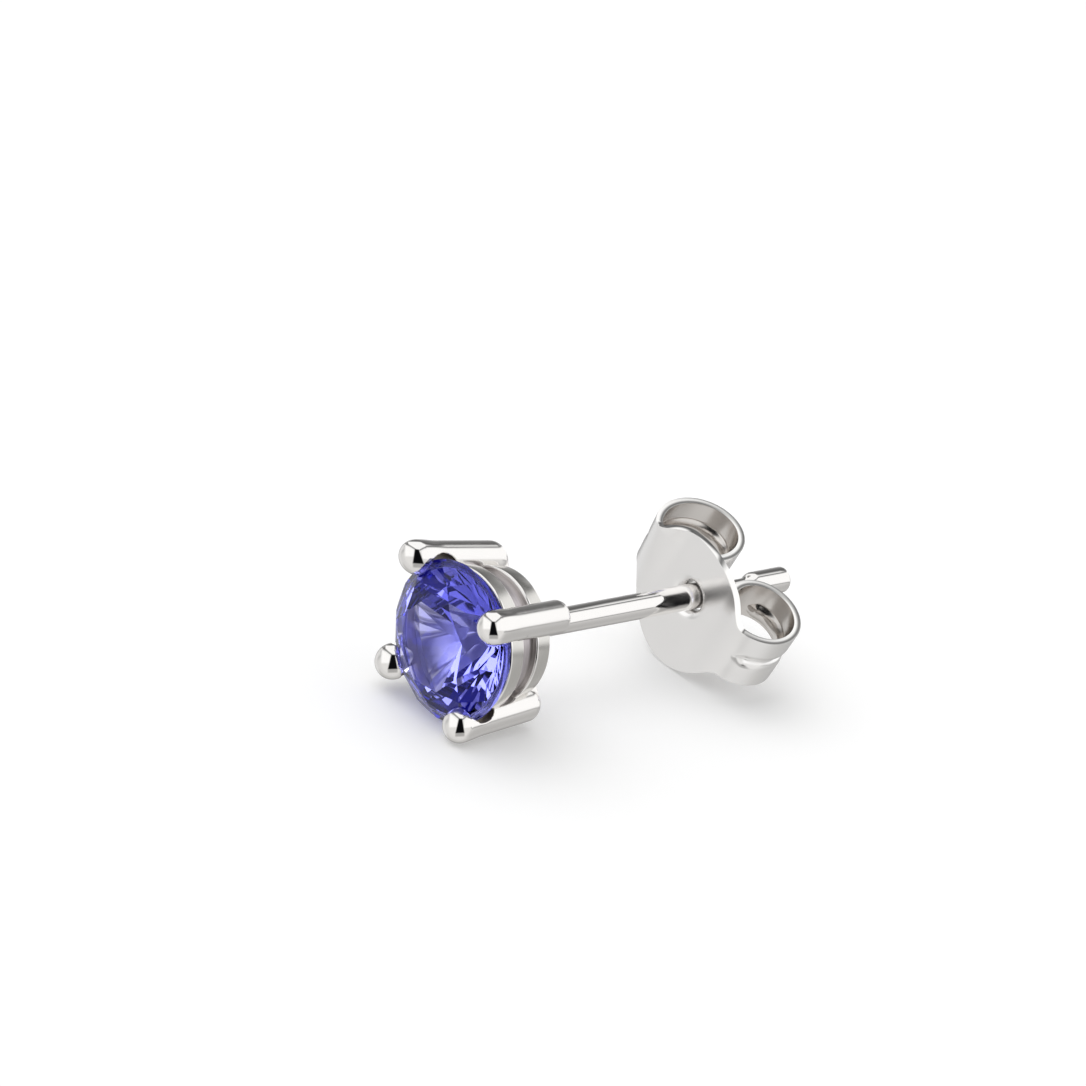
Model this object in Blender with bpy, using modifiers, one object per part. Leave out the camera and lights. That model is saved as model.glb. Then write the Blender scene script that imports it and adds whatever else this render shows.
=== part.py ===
"""A stud earring lying at rest: a round stone in a four-finger setting on a straight post, with its butterfly back.

Metres, +Z up. The stud is built along +X: the girdle of the stone lies in the plane X = 0, the table faces -X,
the post runs to +X. Afterwards the stud is laid on the surface, on its girdle, a finger and the rim of the back.
"""
import math

import bmesh
import bpy
from mathutils import Vector

# The stone, a round brilliant
STONE_DIAMETER = 0.0050
TABLE_DIAMETER = 0.00285
GIRDLE_THICKNESS = 0.00016
CROWN_ANGLE = math.radians(34.5)
PAVILION_ANGLE = math.radians(40.75)
STAR_POINT_RADIUS = 0.00191
LOWER_POINT_RADIUS = 0.00055
GIRDLE_SIDES = 32

# The fingers that hold the stone
FINGER_RADIUS = 0.00049
TIP_RADIUS = 0.000555
TIP_CENTRE = -0.00039
TIP_CIRCLE = 0.002505
FINGER_FOOT = 0.00220
FOOT_CIRCLE = 0.002295
FINGER_END = 0.00264
FINGER_END_ROUNDING = 0.00022
FAR_TIP_LEAN = 0.00025
LOW_TIP_LEAN = 0.00015

# The two rails between the fingers and the wall that joins them, on one cone
BASKET_FRONT = 0.00032
BASKET_BACK = 0.00219
BASKET_FRONT_RADIUS = 0.002348
BASKET_BACK_RADIUS = 0.002014
RAIL_WIDTH = 0.00063
RAIL_WALL = 0.00032
WALL_RECESS = 0.00018
WALL_THICKNESS = 0.00019
WALL_OVERLAP = 0.00010

# The cross behind the stone and the pad that the post is soldered to
CROSS_FRONT = 0.00230
CROSS_BACK = 0.00262
CROSS_WIDTH = 0.00062
PAD_RADIUS = 0.00085
PAD_BACK = 0.00275
POST_ROOT = 0.00240

# The seat that is cut for the stone
SEAT_CLEARANCE = 0.00004
NOTCH_CENTRE = 0.00008
NOTCH_CIRCLE = 0.00230
NOTCH_RADIUS = 0.00036

# The post
POST_RADIUS = 0.00040
POST_END = 0.01365
POST_END_ROUNDING = 0.00013
NECK_RADIUS = 0.00031
NECK_FRONT = 0.01085
NECK_BACK = 0.01185
NECK_TAPER = 0.00015

# The butterfly back, one stamped sheet
SHEET = 0.00020
BACK_FACE = 0.00966
DISC_RADIUS = 0.00223
DISC_SHIFT = 0.00033
WING_WIDTH = 0.00192
WING_DROP = math.radians(15.6)
ROLL_CENTRE = 0.00164
ROLL_RADIUS = 0.00122
ROLL_ANGLE = math.radians(315.0)
ROLL_TIGHTENING = 0.00029
WING_BLEND = 0.000105
HOLE_CLEARANCE = 0.00005
COLLAR_ROOT = 0.00006
COLLAR_WALL = 0.00014
COLLAR_LENGTH = 0.00034
FUNNEL_RADIUS = 0.00064
FUNNEL_DEPTH = 0.00040
FUNNEL_KNEE = 0.00016
FUNNEL_KNEE_STEP = 0.00004
CUT_MARGIN = 0.00020

TURNED_STEPS = 32
SHEET_STEPS_ALONG = 78
SHEET_STEPS_ACROSS = 10
MERGE = 1e-7


def material(name, colour, roughness, metallic):
    """A plain Principled material."""
    made = bpy.data.materials.new(name)
    made.use_nodes = True
    shader = made.node_tree.nodes["Principled BSDF"]
    shader.inputs["Base Color"].default_value = (*colour, 1.0)
    shader.inputs["Roughness"].default_value = roughness
    shader.inputs["Metallic"].default_value = metallic
    return made


def add_object(name, mesh, collection):
    """Puts a mesh in the collection, carried by the stud's empty."""
    made = bpy.data.objects.new(name, mesh)
    collection.objects.link(made)
    made.parent = STUD
    return made


def mesh_from(name, body):
    """Turns a bmesh into a mesh and frees it."""
    mesh = bpy.data.meshes.new(name)
    body.to_mesh(mesh)
    body.free()
    return mesh


def turned(name, profile, collection, closed=False, steps=TURNED_STEPS):
    """A turned shape about the local X axis: the profile is a list of (x, radius), front to back along its outside."""
    count = len(profile)
    edges = [(i, i + 1) for i in range(count - 1)]
    if closed:
        edges.append((count - 1, 0))
    mesh = bpy.data.meshes.new(name)
    mesh.from_pydata([(x, 0.0, radius) for x, radius in reversed(profile)], edges, [])
    made = add_object(name, mesh, collection)
    screw = made.modifiers.new("turn", "SCREW")
    screw.axis = "X"
    screw.steps = steps
    screw.render_steps = steps
    screw.use_merge_vertices = True
    screw.merge_threshold = MERGE
    return made


def boolean(target, operation, other):
    """Joins or cuts with another object, or with all objects of a collection."""
    step = target.modifiers.new(operation.lower(), "BOOLEAN")
    step.operation = operation
    step.solver = "MANIFOLD"
    if isinstance(other, bpy.types.Collection):
        step.operand_type = "COLLECTION"
        step.collection = other
    else:
        step.object = other


def arc(centre_x, centre_radius, radius, start, stop, count):
    """Points (x, radius) on an arc of a profile; angle 0 points along +X and 90 degrees away from the axis."""
    points = []
    for i in range(count + 1):
        angle = math.radians(start + (stop - start) * i / count)
        points.append((centre_x + radius * math.cos(angle), centre_radius + radius * math.sin(angle)))
    return points


def cut_facet(body, first, second, third):
    """Grinds a flat facet through three points and closes the cut; the axis of the stone stays inside."""
    normal = (second - first).cross(third - first).normalized()
    if normal.dot(first) < 0:
        normal.negate()
    geometry = body.verts[:] + body.edges[:] + body.faces[:]
    bmesh.ops.bisect_plane(body, geom=geometry, dist=1e-9, plane_co=first, plane_no=normal, clear_outer=True)
    rim = [edge for edge in body.edges if edge.is_boundary]
    bmesh.ops.holes_fill(body, edges=rim)


def around(radius, angle, height):
    """A point at an angle around the axis of the stone, whose table faces +Z here."""
    return Vector((radius * math.cos(angle), radius * math.sin(angle), height))


def stone_heights():
    """The heights of the table, the star points, the lower points and the culet over the girdle's middle."""
    radius = STONE_DIAMETER / 2
    half = GIRDLE_THICKNESS / 2
    off = math.cos(math.radians(22.5))
    table = half + (radius - TABLE_DIAMETER / 2) * math.tan(CROWN_ANGLE)
    star = half + (radius - STAR_POINT_RADIUS * off) * math.tan(CROWN_ANGLE)
    lower = -half - (radius - LOWER_POINT_RADIUS * off) * math.tan(PAVILION_ANGLE)
    culet = -half - radius * math.tan(PAVILION_ANGLE)
    return table, star, lower, culet


def stone():
    """A round brilliant: a cylinder ground to eight mains, eight stars and sixteen halves, and its pavilion."""
    radius = STONE_DIAMETER / 2
    half = GIRDLE_THICKNESS / 2
    table, star, lower, culet = stone_heights()
    body = bmesh.new()
    bmesh.ops.create_cone(body, cap_ends=True, segments=GIRDLE_SIDES, radius1=radius, radius2=radius,
                          depth=2.2 * abs(culet))
    turn = math.radians(45.0)
    cut_facet(body, around(1, 0, table), around(1, 2, table), around(1, 4, table))
    for i in range(8):
        main = i * turn
        between = main + turn / 2
        beside = radius * math.tan(turn / 2)
        side = Vector((-math.sin(main), math.cos(main), 0)) * beside
        cut_facet(body, around(radius, main, half), around(TABLE_DIAMETER / 2, main, table),
                  around(radius, main, half) + side)
        cut_facet(body, around(radius, main, -half), Vector((0, 0, culet)), around(radius, main, -half) + side)
        cut_facet(body, around(STAR_POINT_RADIUS, between, star), around(TABLE_DIAMETER / 2, main, table),
                  around(TABLE_DIAMETER / 2, main + turn, table))
        for girdle in (main, main + turn):
            cut_facet(body, around(STAR_POINT_RADIUS, between, star), around(radius, girdle, half),
                      around(radius, between, half))
            cut_facet(body, around(LOWER_POINT_RADIUS, between, lower), around(radius, girdle, -half),
                      around(radius, between, -half))
    bmesh.ops.recalc_face_normals(body, faces=body.faces)
    made = add_object("stone", mesh_from("stone", body), SOLIDS)
    made.rotation_euler = (0.0, math.radians(-90.0), resting_roll() + math.pi / GIRDLE_SIDES)
    made.rotation_mode = "ZYX"
    made.data.materials.append(material("violet_stone", (0.16, 0.13, 0.62), 0.02, 0.0))
    return made


def seat_cutter():
    """The turned envelope of the stone with the seat's clearance all round."""
    table, star, lower, culet = stone_heights()
    grow = 1.0 / math.cos(math.pi / TURNED_STEPS)
    gap = SEAT_CLEARANCE
    girdle = (STONE_DIAMETER / 2 + gap) * grow
    half = GIRDLE_THICKNESS / 2 + gap / 2
    profile = [
        (-table - gap, 0.0),
        (-table - gap, (TABLE_DIAMETER / 2 + gap) * grow),
        (-star - gap, (STAR_POINT_RADIUS + gap) * grow),
        (-half, girdle),
        (half, girdle),
        (-lower + gap, (LOWER_POINT_RADIUS + gap) * grow),
        (-culet + gap, 0.0),
    ]
    return turned("seat_cutter", profile, CUTTERS)


def notch_cutter():
    """A ring that cuts the arched bearing in each finger, where the girdle sits."""
    profile = arc(NOTCH_CENTRE, NOTCH_CIRCLE, NOTCH_RADIUS, 180.0, -157.5, 15)
    return turned("notch_cutter", profile, CUTTERS, closed=True, steps=2 * TURNED_STEPS)


def finger(name, side, up, lean, seat, notch):
    """One finger: a turned rod with a ball tip and a rounded end, cut for the stone."""
    diagonal = math.sqrt(0.5)
    tip = Vector((TIP_CENTRE, side * TIP_CIRCLE * diagonal + lean, up * TIP_CIRCLE * diagonal))
    foot = Vector((FINGER_FOOT, side * FOOT_CIRCLE * diagonal, up * FOOT_CIRCLE * diagonal))
    length = (foot - tip).length * (FINGER_END - TIP_CENTRE) / (FINGER_FOOT - TIP_CENTRE)
    neck = math.degrees(math.asin(FINGER_RADIUS / TIP_RADIUS))
    profile = arc(0.0, 0.0, TIP_RADIUS, 180.0, neck, 9)
    profile[0] = (-TIP_RADIUS, 0.0)
    profile += arc(length - FINGER_END_ROUNDING, FINGER_RADIUS - FINGER_END_ROUNDING, FINGER_END_ROUNDING,
                   90.0, 0.0, 3)
    profile.append((length, 0.0))
    made = turned(name, profile, FINGERS, steps=20)
    made.location = tip
    made.rotation_mode = "QUATERNION"
    made.rotation_quaternion = (foot - tip).to_track_quat("X", "Z")
    boolean(made, "DIFFERENCE", seat)
    boolean(made, "DIFFERENCE", notch)
    return made


def cone_radius(x):
    """The outside of the basket at a distance behind the girdle."""
    share = (x - BASKET_FRONT) / (BASKET_BACK - BASKET_FRONT)
    return BASKET_FRONT_RADIUS + share * (BASKET_BACK_RADIUS - BASKET_FRONT_RADIUS)


def rail(name, front, seat):
    """A conical band with its front edge at a distance behind the girdle."""
    back = front + RAIL_WIDTH
    profile = [
        (front, cone_radius(front) - RAIL_WALL),
        (front, cone_radius(front)),
        (back, cone_radius(back)),
        (back, cone_radius(back) - RAIL_WALL),
    ]
    made = turned(name, profile, FINGERS, closed=True, steps=2 * TURNED_STEPS)
    boolean(made, "DIFFERENCE", seat)


def basket_wall(seat):
    """The thin wall that closes the basket between the rails, set back behind their faces."""
    front = BASKET_FRONT + RAIL_WIDTH - WALL_OVERLAP
    back = BASKET_BACK - RAIL_WIDTH + WALL_OVERLAP
    inside = WALL_RECESS + WALL_THICKNESS
    profile = [
        (front, cone_radius(front) - inside),
        (front, cone_radius(front) - WALL_RECESS),
        (back, cone_radius(back) - WALL_RECESS),
        (back, cone_radius(back) - inside),
    ]
    made = turned("basket_wall", profile, FINGERS, closed=True, steps=2 * TURNED_STEPS)
    boolean(made, "DIFFERENCE", seat)


def cross_bar(name, up):
    """One bar of the cross, between two opposite fingers."""
    body = bmesh.new()
    bmesh.ops.create_cube(body, size=1.0)
    length = 2 * FOOT_CIRCLE
    bmesh.ops.scale(body, verts=body.verts, vec=(CROSS_BACK - CROSS_FRONT, length, CROSS_WIDTH))
    made = add_object(name, mesh_from(name, body), FINGERS)
    made.location = ((CROSS_BACK + CROSS_FRONT) / 2, 0.0, 0.0)
    made.rotation_euler = (up * math.radians(45.0), 0.0, 0.0)
    return made


def setting():
    """The soldered metal: fingers, rails, cross, pad and post in one solid."""
    profile = [(POST_ROOT, 0.0),
               (POST_ROOT, POST_RADIUS),
               (NECK_FRONT, POST_RADIUS),
               (NECK_FRONT + NECK_TAPER, NECK_RADIUS),
               (NECK_BACK, NECK_RADIUS),
               (NECK_BACK + NECK_TAPER, POST_RADIUS)]
    profile += arc(POST_END - POST_END_ROUNDING, POST_RADIUS - POST_END_ROUNDING, POST_END_ROUNDING, 90.0, 0.0, 4)
    profile.append((POST_END, 0.0))
    made = turned("setting", profile, SOLIDS)
    made.data.materials.append(material("polished_silver", (0.86, 0.85, 0.84), 0.08, 1.0))
    seat = seat_cutter()
    notch = notch_cutter()
    finger("finger_high_far", 1, 1, FAR_TIP_LEAN, seat, notch)
    finger("finger_high_near", -1, 1, 0.0, seat, notch)
    finger("finger_low_near", -1, -1, 0.0, seat, notch)
    finger("finger_low_far", 1, -1, -LOW_TIP_LEAN, seat, notch)
    rail("upper_rail", BASKET_FRONT, seat)
    rail("lower_rail", BASKET_BACK - RAIL_WIDTH, seat)
    basket_wall(seat)
    cross_bar("cross_bar_a", 1)
    cross_bar("cross_bar_b", -1)
    turned("solder_pad", [(CROSS_FRONT, 0.0), (CROSS_FRONT, PAD_RADIUS), (PAD_BACK, PAD_RADIUS), (PAD_BACK, 0.0)],
           FINGERS)
    boolean(made, "UNION", FINGERS)
    return made


def sheet_centre_line(run):
    """The middle of the rolled sheet at a run along it from the post: (distance behind the disc, distance out)."""
    flat = min(run, ROLL_CENTRE)
    angle = (run - flat) / ROLL_RADIUS
    late = max(0.0, angle - math.pi) / (ROLL_ANGLE - math.pi)
    radius = ROLL_RADIUS - ROLL_TIGHTENING * late * late
    behind = ROLL_RADIUS - radius * math.cos(angle)
    out = flat + radius * math.sin(angle)
    return behind, out


def half_width(along):
    """Half the width of the flat blank at a place along it: the disc, blended into the wings."""
    disc = math.sqrt(max(0.0, DISC_RADIUS ** 2 - along ** 2))
    wing = WING_WIDTH / 2
    return 0.5 * (disc + wing + math.sqrt((disc - wing) ** 2 + WING_BLEND ** 2))


def butterfly_back():
    """The back: a disc whose two wings roll up behind it, pierced for the post, with a collar round the hole."""
    reach = ROLL_CENTRE + ROLL_ANGLE * ROLL_RADIUS
    body = bmesh.new()
    bmesh.ops.create_grid(body, x_segments=SHEET_STEPS_ALONG, y_segments=SHEET_STEPS_ACROSS, size=1.0)
    for vert in body.verts:
        place = vert.co.x * reach
        shift = DISC_SHIFT * max(0.0, 1.0 - (place / DISC_RADIUS) ** 2)
        offset = vert.co.y * half_width(place) + shift
        behind, out = sheet_centre_line(abs(place))
        vert.co = (behind, math.copysign(out, place), offset)
    bmesh.ops.recalc_face_normals(body, faces=body.faces)
    made = add_object("butterfly_back", mesh_from("butterfly_back", body), SOLIDS)
    made.location = (BACK_FACE + SHEET / 2, 0.0, 0.0)
    made.rotation_euler = (math.pi + WING_DROP, 0.0, 0.0)
    made.data.materials.append(material("polished_silver_back", (0.84, 0.83, 0.81), 0.14, 1.0))
    sheet = made.modifiers.new("sheet", "SOLIDIFY")
    sheet.thickness = SHEET
    sheet.offset = 0.0
    hole = POST_RADIUS + HOLE_CLEARANCE
    collar_end = BACK_FACE + SHEET + COLLAR_LENGTH
    collar = turned("collar", [(BACK_FACE + COLLAR_ROOT, 0.0),
                               (BACK_FACE + COLLAR_ROOT, hole + COLLAR_WALL),
                               (collar_end, hole + COLLAR_WALL),
                               (collar_end, 0.0)], CUTTERS)
    bore = hole / math.cos(math.pi / TURNED_STEPS)
    funnel = turned("funnel_cutter", [(BACK_FACE - CUT_MARGIN, 0.0),
                                      (BACK_FACE - CUT_MARGIN, FUNNEL_RADIUS + CUT_MARGIN),
                                      (BACK_FACE, FUNNEL_RADIUS),
                                      (BACK_FACE + FUNNEL_KNEE, bore + FUNNEL_KNEE_STEP),
                                      (BACK_FACE + FUNNEL_DEPTH, bore),
                                      (collar_end + CUT_MARGIN, bore),
                                      (collar_end + CUT_MARGIN, 0.0)], CUTTERS)
    boolean(made, "UNION", collar)
    boolean(made, "DIFFERENCE", funnel)
    return made


def girdle_drop():
    """How far a flat of the girdle lies from the axis."""
    return STONE_DIAMETER / 2 * math.cos(math.pi / GIRDLE_SIDES)


def resting_roll():
    """The roll about the post that brings the low near finger down as far as the girdle."""
    return math.asin(min(1.0, (girdle_drop() - TIP_RADIUS) / TIP_CIRCLE)) - math.radians(45.0)


def lay_down(pieces):
    """Lays the stud on the surface, on the girdle, the low near finger and the back, centred over the origin."""
    roll = resting_roll()
    back_drop = DISC_RADIUS + DISC_SHIFT * math.cos(WING_DROP + roll)
    STUD.rotation_euler = (roll, math.atan2(girdle_drop() - back_drop, BACK_FACE), 0.0)
    bpy.context.view_layer.update()
    graph = bpy.context.evaluated_depsgraph_get()
    corners = []
    for piece in pieces:
        seen = piece.evaluated_get(graph)
        mesh = seen.to_mesh()
        corners += [seen.matrix_world @ vert.co for vert in mesh.vertices]
        seen.to_mesh_clear()
    low = Vector([min(corner[i] for corner in corners) for i in range(3)])
    high = Vector([max(corner[i] for corner in corners) for i in range(3)])
    STUD.location = (-(low.x + high.x) / 2, -(low.y + high.y) / 2, -low.z)


def make_collection(name):
    """A collection under the scene."""
    made = bpy.data.collections.new(name)
    bpy.context.scene.collection.children.link(made)
    return made


for old in list(bpy.data.objects):
    bpy.data.objects.remove(old)
SOLIDS = make_collection("stud_earring")
FINGERS = make_collection("setting_parts")
CUTTERS = make_collection("cutters")
STUD = bpy.data.objects.new("stud", None)
SOLIDS.objects.link(STUD)
parts = [stone(), setting(), butterfly_back()]
for collection in (FINGERS, CUTTERS):
    for helper in collection.objects:
        helper.hide_render = True
        helper.display_type = "WIRE"
lay_down(parts)
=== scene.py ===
# %% [markdown]
# A stud earring is jeweller's work at the scale of a fingernail: a five millimetre violet stone, four
# ball-tipped fingers and two rails of rhodium-plated silver, a straight post and a stamped butterfly back
# that slides on it. This lesson dresses the imported CAD model. Every surface is worked out with numpy in the
# stud's own millimetres, then turned and moved to where the CAD model lies. First the frame is loaded, and
# each part's place is written into its points.

# %% Load the frame
import math

import bmesh
import bpy
import numpy as np
from mathutils import Matrix, Vector


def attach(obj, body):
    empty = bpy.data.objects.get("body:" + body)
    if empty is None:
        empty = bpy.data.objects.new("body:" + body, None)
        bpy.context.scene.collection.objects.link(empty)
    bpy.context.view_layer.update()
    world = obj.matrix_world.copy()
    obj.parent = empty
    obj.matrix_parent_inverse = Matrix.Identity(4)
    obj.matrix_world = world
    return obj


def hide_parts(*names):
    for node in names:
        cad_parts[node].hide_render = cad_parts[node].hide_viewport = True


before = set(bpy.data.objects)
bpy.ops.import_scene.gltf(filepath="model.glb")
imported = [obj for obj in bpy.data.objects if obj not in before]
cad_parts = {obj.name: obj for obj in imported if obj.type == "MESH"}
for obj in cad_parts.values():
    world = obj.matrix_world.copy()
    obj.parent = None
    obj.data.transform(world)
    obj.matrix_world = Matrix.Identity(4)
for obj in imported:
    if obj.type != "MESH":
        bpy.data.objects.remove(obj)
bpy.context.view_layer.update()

# %% [markdown]
# The stud has its own axes: X runs from the stone along the post, with the middle of the girdle at zero,
# and Z is up before the stud is laid down. It lies on the girdle's edge, one finger and the rim of the
# back, which rolls it five and a half degrees and tips it by less than one. One function takes own
# millimetres to the frame's metres.

# %% Place of the stud
MILLIMETRE = 0.001
ROLL = 0.0960196
TILT = -0.0051666
GIRDLE_MIDDLE = np.array([-6.3487, 0.0, 2.4883])

turn_x = np.array([[1.0, 0.0, 0.0],
                   [0.0, math.cos(ROLL), -math.sin(ROLL)],
                   [0.0, math.sin(ROLL), math.cos(ROLL)]])
turn_y = np.array([[math.cos(TILT), 0.0, math.sin(TILT)],
                   [0.0, 1.0, 0.0],
                   [-math.sin(TILT), 0.0, math.cos(TILT)]])
STUD_TURN = turn_y @ turn_x


def placed(points):
    """Own millimetres to the frame's metres: turned by the roll and the tilt, then moved into place."""
    return (points @ STUD_TURN.T + GIRDLE_MIDDLE) * MILLIMETRE


# %% [markdown]
# The camera stands a third of a metre away with a long lens, as close-up jewellery photographs are taken,
# so the post hardly narrows with distance. It is rolled, which is why the post climbs to the right in the
# picture. The picture's right, up and back directions are kept, because the studio's lights are set out in
# the same frame.

# %% Camera
CAMERA_PLACE = Vector((-222.312, -206.227, 150.669)) * MILLIMETRE
CAMERA_AIM = Vector((-1.190, 2.246, 3.886)) * MILLIMETRE
CAMERA_ROLL = math.radians(14.7735)
LENS = 367.97

camera_data = bpy.data.cameras.new("camera")
camera_data.lens = LENS
camera_data.sensor_width = 36.0
camera_data.clip_start = 0.01
camera_data.clip_end = 20.0
camera = bpy.data.objects.new("camera", camera_data)
bpy.context.scene.collection.objects.link(camera)
looking = (CAMERA_AIM - CAMERA_PLACE).to_track_quat("-Z", "Y")
camera.matrix_world = (Matrix.Translation(CAMERA_PLACE) @ looking.to_matrix().to_4x4()
                       @ Matrix.Rotation(CAMERA_ROLL, 4, "Z"))
bpy.context.scene.camera = camera
bpy.context.scene.view_settings.view_transform = "Standard"
PICTURE_RIGHT = tuple(camera.matrix_world.to_3x3().col[0])
PICTURE_UP = tuple(camera.matrix_world.to_3x3().col[1])
PICTURE_BACK = tuple(camera.matrix_world.to_3x3().col[2])
print("camera looks from", [round(v, 4) for v in CAMERA_PLACE],
      "picture's up", [round(v, 3) for v in PICTURE_UP])

# %% [markdown]
# Materials and the studio are node trees. One small function adds any node, with its settings and its
# links, and one more turns the sRGB hex colours that people read off a picture into the linear light that
# shaders need.

# %% Two helpers for nodes


def add_node(tree, kind, links=None, **settings):
    """Adds a node: settings are its properties, links gives each input a value or another node's output."""
    made = tree.nodes.new(kind)
    for name, value in settings.items():
        setattr(made, name, value)
    for socket, source in (links or {}).items():
        if isinstance(source, bpy.types.NodeSocket):
            tree.links.new(source, made.inputs[socket])
        else:
            made.inputs[socket].default_value = source
    return made


def linear(hex_colour):
    """An sRGB hex colour as linear light: a power of 2.4 above a short straight foot."""
    value = np.array([int(hex_colour[i:i + 2], 16) for i in (1, 3, 5)]) / 255.0
    light = np.where(value <= 0.04045, value / 12.92, ((value + 0.055) / 1.055) ** 2.4)
    return (*light.tolist(), 1.0)


# %% [markdown]
# Polished metal has no look of its own, it shows the room. Jewellery is photographed in a light tent: white
# cloth all round, brighter panels left, right and above, and a dark slit where the camera looks in. Lamps
# could be hung one by one, but here the tent is drawn straight into the world, on the disc of a mirror
# ball: a ray's direction (a, b, c) in the picture's right, up and back meets the ball at a and b over the
# root of 2(1 + c). What is drawn at a place on that disc is what a ball tip shows at the same place. A
# second ball faces the other way. Two dark seams, where the cloths meet, cross above the slit. Light that
# passes the stone comes from lamps close by, so there the tent has more contrast and never falls below a
# deep violet. The table is lit by a lamp overhead.

# %% Light tent


def panel(tree, ball, edges, soft):
    """How far a place on the ball lies inside a panel.

    Each edge is (right, up, from), and inside is where right * a + up * b is beyond from."""
    inside = None
    for right, up, beyond in edges:
        across = add_node(tree, "ShaderNodeVectorMath", {0: ball, 1: (right, up, -beyond)},
                          operation="DOT_PRODUCT")
        step = add_node(tree, "ShaderNodeMapRange", {"Value": across.outputs["Value"], "From Min": -soft,
                                                     "From Max": soft}, interpolation_type="SMOOTHSTEP")
        if inside is None:
            inside = step.outputs["Result"]
        else:
            inside = add_node(tree, "ShaderNodeMath", {0: inside, 1: step.outputs["Result"]},
                              operation="MULTIPLY").outputs["Value"]
    return inside


def mirror_ball(tree, right, up, back):
    """The place (a, b, 1) of a direction on the disc of a mirror ball: a and b over the root of 2(1 + c)."""
    total = add_node(tree, "ShaderNodeMath", {0: back, 1: 2.0, 2: 2.0}, operation="MULTIPLY_ADD")
    scale = add_node(tree, "ShaderNodeMath", {0: total.outputs["Value"], 1: -0.5}, operation="POWER")
    place = add_node(tree, "ShaderNodeCombineXYZ", {"X": right, "Y": up, "Z": 0.0})
    scaled = add_node(tree, "ShaderNodeVectorMath",
                      {0: place.outputs["Vector"], "Scale": scale.outputs["Value"]}, operation="SCALE")
    return add_node(tree, "ShaderNodeVectorMath", {0: scaled.outputs["Vector"], 1: (0.0, 0.0, 1.0)},
                    operation="ADD").outputs["Vector"]


world = bpy.data.worlds.new("light_tent")
world.use_nodes = True
bpy.context.scene.world = world
tent = world.node_tree
tent.nodes.clear()
direction = add_node(tent, "ShaderNodeTexCoord").outputs["Generated"]
parts = [add_node(tent, "ShaderNodeVectorMath", {0: direction, 1: axis},
                  operation="DOT_PRODUCT").outputs["Value"]
         for axis in (PICTURE_RIGHT, PICTURE_UP, PICTURE_BACK)]
rear_part = add_node(tent, "ShaderNodeMath", {0: parts[2], 1: -1.0}, operation="MULTIPLY").outputs["Value"]
front_ball = mirror_ball(tent, parts[0], parts[1], parts[2])
rear_ball = mirror_ball(tent, parts[0], parts[1], rear_part)

LOWER_CLOTH = ((0.55, (0.80, 0.795, 0.785, 1.0)), (0.76, (0.72, 0.715, 0.71, 1.0)),
               (0.90, (0.56, 0.555, 0.545, 1.0)), (0.98, (0.36, 0.355, 0.35, 1.0)))
UPPER_CLOTH = ((0.62, (0.85, 0.85, 0.85, 1.0)), (0.78, (0.50, 0.50, 0.50, 1.0)),
               (0.86, (0.12, 0.12, 0.12, 1.0)), (0.93, (0.17, 0.17, 0.17, 1.0)),
               (0.99, (0.42, 0.42, 0.42, 1.0)))
WHITE = (1.06, 1.06, 1.06, 1.0)
TOP_WHITE = (1.03, 1.03, 1.03, 1.0)
REAR_GREY = (0.75, 0.75, 0.75, 1.0)
CARD_GREY = (0.49, 0.485, 0.48, 1.0)
BELOW_SLIT_GREY = (0.42, 0.415, 0.41, 1.0)
LINE_GREY = (0.36, 0.36, 0.36, 1.0)
SEAM_GREY = (0.16, 0.16, 0.16, 1.0)
BLACK = (0.004, 0.004, 0.005, 1.0)
STONE_LIGHT = (3.9, 4.0, 2.8, 1.0)
DEEP_VIOLET = (0.003, 0.003, 0.18, 1.0)
OVERHEAD = (-0.12, 0.48, 0.87)
OVERHEAD_LIGHT = 1.95
SIDE_LIGHT = 0.30
LEFT_SEAM = (0.606, 0.795)
RIGHT_SEAM = (-0.6, 0.8)


def below(seam, limit):
    """The edge that keeps what lies under a seam's line."""
    return (-seam[0], -seam[1], -limit)


PANELS = [
    (rear_ball, [(1, 0, 0.20), (-1, 0, -0.55), (0, 1, -0.25), (0, -1, -0.35)], 0.08, REAR_GREY),
    (rear_ball, [(1, 0, -0.55), (-1, 0, 0.20), (0, 1, -0.25), (0, -1, -0.35)], 0.08, REAR_GREY),
    (front_ball, [(0.8, -0.6, 0.70), (0, 1, -0.72)], 0.15, CARD_GREY),
    (front_ball, [(1, 0, -0.27), (-1, 0, -0.25), (0, 1, -0.60), (0, -1, 0.38)], 0.06, BELOW_SLIT_GREY),
    (front_ball, [(1, 0, -0.44), (-0.6, -0.8, -0.80), (*LEFT_SEAM, 0.29), (*RIGHT_SEAM, 0.245),
                  (0, -1, -0.84)], 0.03, TOP_WHITE),
    (front_ball, [(1, 0, -0.62), (-1, 0, 0.17), (0, 1, -0.06), below(LEFT_SEAM, 0.16)], 0.07, WHITE),
    (front_ball, [(1, 0, 0.20), (-1, 0, -0.92), (0, 1, -0.13), below(RIGHT_SEAM, 0.12)], 0.05, WHITE),
    (front_ball, [(1, 0, 0.60), (0, 1, -0.215), (0, -1, 0.165)], 0.014, LINE_GREY),
    (front_ball, [(*LEFT_SEAM, 0.206), below(LEFT_SEAM, 0.262), (0, 1, 0.30), (-1, 0, 0.05)], 0.034,
     SEAM_GREY),
    (front_ball, [(*RIGHT_SEAM, 0.166), below(RIGHT_SEAM, 0.220), (0, 1, 0.30), (1, 0, 0.05)], 0.034,
     SEAM_GREY),
    (front_ball, [(1, -0.2, -0.19), (-1, -0.22, -0.16), (0, 1, -0.40), (0, -1, -0.37)], 0.035, BLACK),
]
ball_radius = add_node(tent, "ShaderNodeVectorMath", {0: front_ball, 1: (1.0, 1.0, 0.0)},
                       operation="MULTIPLY")
ball_radius = add_node(tent, "ShaderNodeVectorMath", {0: ball_radius.outputs["Vector"]}, operation="LENGTH")
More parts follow.
